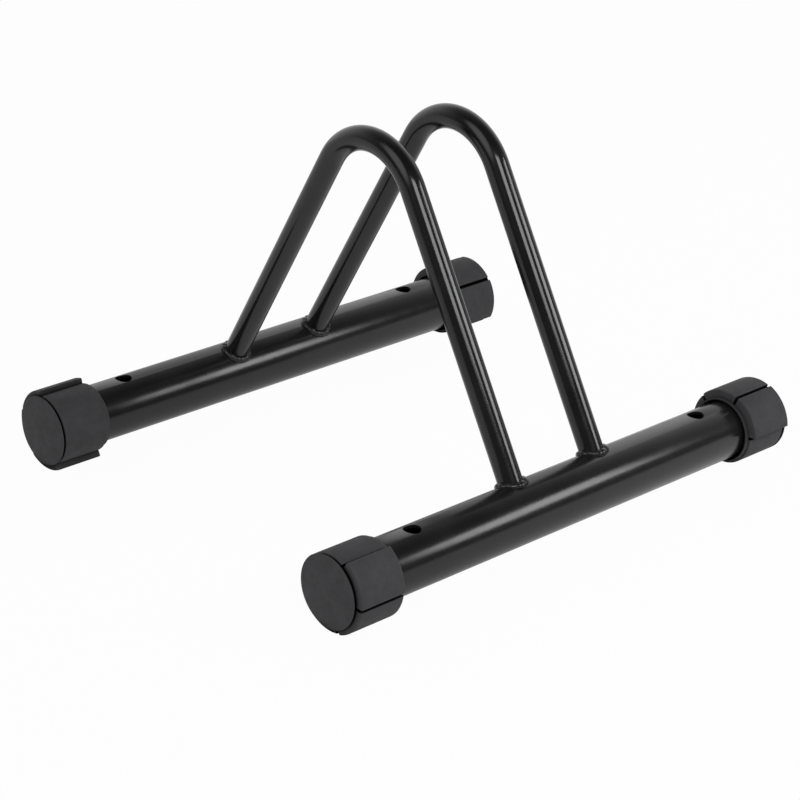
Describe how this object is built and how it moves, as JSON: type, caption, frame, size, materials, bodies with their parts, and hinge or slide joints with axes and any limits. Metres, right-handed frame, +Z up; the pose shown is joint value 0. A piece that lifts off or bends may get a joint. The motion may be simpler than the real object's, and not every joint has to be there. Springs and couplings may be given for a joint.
{
  "type": "floor bike rack",
  "caption": "Low floor stand that holds a bicycle by one wheel between two bent rod hoops on a pair of base tubes, with stepped rubber levelling caps.",
  "frame": {"origin": "floor level, at the middle of the overall box, which is midway between the base tubes and 2 mm to the right of their middles", "axes": "+X along the base tubes towards the ends that are far from the viewer in the picture, +Y from the front base tube to the back one, +Z up"},
  "size_m": [0.3828, 0.3314, 0.2357],
  "materials": {
    "tube_paint": "satin",
    "rod_paint": "gloss",
    "weld_paint": "satin",
    "cap_rubber": "matte"
  },
  "bodies": {
    "root": {"front_base_tube": "tube_paint", "back_base_tube": "tube_paint", "left_hoop": "rod_paint", "right_hoop": "rod_paint", "left_hoop_front_weld": "weld_paint", "left_hoop_back_weld": "weld_paint", "right_hoop_front_weld": "weld_paint", "right_hoop_back_weld": "weld_paint"},
    "front_left_cap": {"front_left_levelling_cap": "cap_rubber"},
    "back_left_cap": {"back_left_levelling_cap": "cap_rubber"},
    "front_right_cap": {"front_right_levelling_cap": "cap_rubber"},
    "back_right_cap": {"back_right_levelling_cap": "cap_rubber"}
  },
  "joints": [
    {"name": "front_left_cap_turn", "type": "hinge", "parent": "root", "child": "front_left_cap", "pos_m": [-0.172, -0.1387, 0.0273], "axis": [-1, 0, 0], "continuous": true},
    {"name": "back_left_cap_turn", "type": "hinge", "parent": "root", "child": "back_left_cap", "pos_m": [-0.172, 0.1387, 0.0273], "axis": [-1, 0, 0], "continuous": true},
    {"name": "front_right_cap_turn", "type": "hinge", "parent": "root", "child": "front_right_cap", "pos_m": [0.168, -0.1387, 0.0273], "axis": [1, 0, 0], "continuous": true},
    {"name": "back_right_cap_turn", "type": "hinge", "parent": "root", "child": "back_right_cap", "pos_m": [0.168, 0.1387, 0.0273], "axis": [1, 0, 0], "continuous": true}
  ]
}
